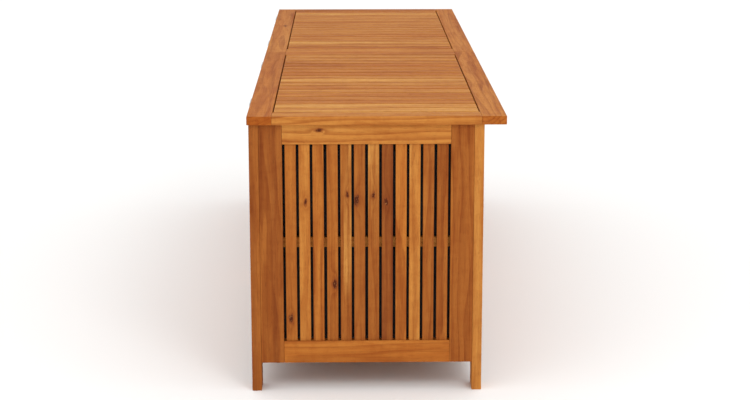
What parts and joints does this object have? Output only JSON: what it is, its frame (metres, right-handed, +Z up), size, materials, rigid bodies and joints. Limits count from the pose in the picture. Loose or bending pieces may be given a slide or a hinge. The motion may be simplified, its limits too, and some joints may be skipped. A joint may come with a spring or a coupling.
{
  "type": "deck storage box",
  "caption": "Long slatted hardwood garden storage box on legs, with a hinged slatted lid, a slatted floor and a dark fabric liner.",
  "frame": {"origin": "on the ground, at the middle of the overall box", "axes": "+X along the box's length, the front towards -Y, the hinges on the back at +Y, +Z up"},
  "size_m": [1.75, 0.5055, 0.555],
  "materials": {
    "acacia_wood": "oiled acacia, satin, with strong streaks from honey to red-brown and dark knots",
    "galvanised_steel": "pressed sheet steel, zinc plated, satin",
    "zinc_plated_steel": "zinc plated, satin",
    "liner_fabric": "black woven polyester with a coated back"
  },
  "bodies": {
    "box": {"barrel_nuts": "zinc_plated_steel", "body_screws": "zinc_plated_steel", "bottom_rail_back_left": "acacia_wood", "bottom_rail_back_right": "acacia_wood", "bottom_rail_end_left": "acacia_wood", "bottom_rail_end_right": "acacia_wood", "bottom_rail_front_left": "acacia_wood", "bottom_rail_front_right": "acacia_wood", "corner_bolts": "zinc_plated_steel", "corner_leg_back_left": "acacia_wood", "corner_leg_back_right": "acacia_wood", "corner_leg_front_left": "acacia_wood", "corner_leg_front_right": "acacia_wood", "end_mid_rails": "acacia_wood", "end_slats_left": "acacia_wood", "end_slats_right": "acacia_wood", "end_stile_left_back": "acacia_wood", "end_stile_left_front": "acacia_wood", "end_stile_right_back": "acacia_wood", "end_stile_right_front": "acacia_wood", "floor_bearers": "acacia_wood", "floor_boards": "acacia_wood", "hinge_lower_leaves": "galvanised_steel", "hinge_lower_screws": "zinc_plated_steel", "hinge_pins": "galvanised_steel", "liner_bag": "liner_fabric", "liner_screws": "zinc_plated_steel", "liner_tabs": "liner_fabric", "mid_rails_back": "acacia_wood", "mid_rails_front": "acacia_wood", "middle_legs_back": "acacia_wood", "middle_legs_front": "acacia_wood", "panel_joiner_back": "acacia_wood", "panel_joiner_front": "acacia_wood", "slats_back_left": "acacia_wood", "slats_back_right": "acacia_wood", "slats_front_left": "acacia_wood", "slats_front_right": "acacia_wood", "top_rail_back_left": "acacia_wood", "top_rail_back_right": "acacia_wood", "top_rail_end_left": "acacia_wood", "top_rail_end_right": "acacia_wood", "top_rail_front_left": "acacia_wood", "top_rail_front_right": "acacia_wood"},
    "lid": {"hinge_upper_leaves": "galvanised_steel", "hinge_upper_screws": "zinc_plated_steel", "lid_back_rail_left": "acacia_wood", "lid_back_rail_right": "acacia_wood", "lid_battens": "acacia_wood", "lid_end_rail_left": "acacia_wood", "lid_end_rail_right": "acacia_wood", "lid_front_rail_left": "acacia_wood", "lid_front_rail_right": "acacia_wood", "lid_middle_rail_left": "acacia_wood", "lid_middle_rail_right": "acacia_wood", "lid_screws": "zinc_plated_steel", "lid_seam_cleats": "acacia_wood", "lid_slats_left": "acacia_wood", "lid_slats_right": "acacia_wood"}
  },
  "joints": [
    {"name": "lid_hinge", "type": "hinge", "parent": "box", "child": "lid", "pos_m": [0, 0.24875, 0.53], "axis": [-1, 0, 0], "range_deg": [0, 95]}
  ]
}
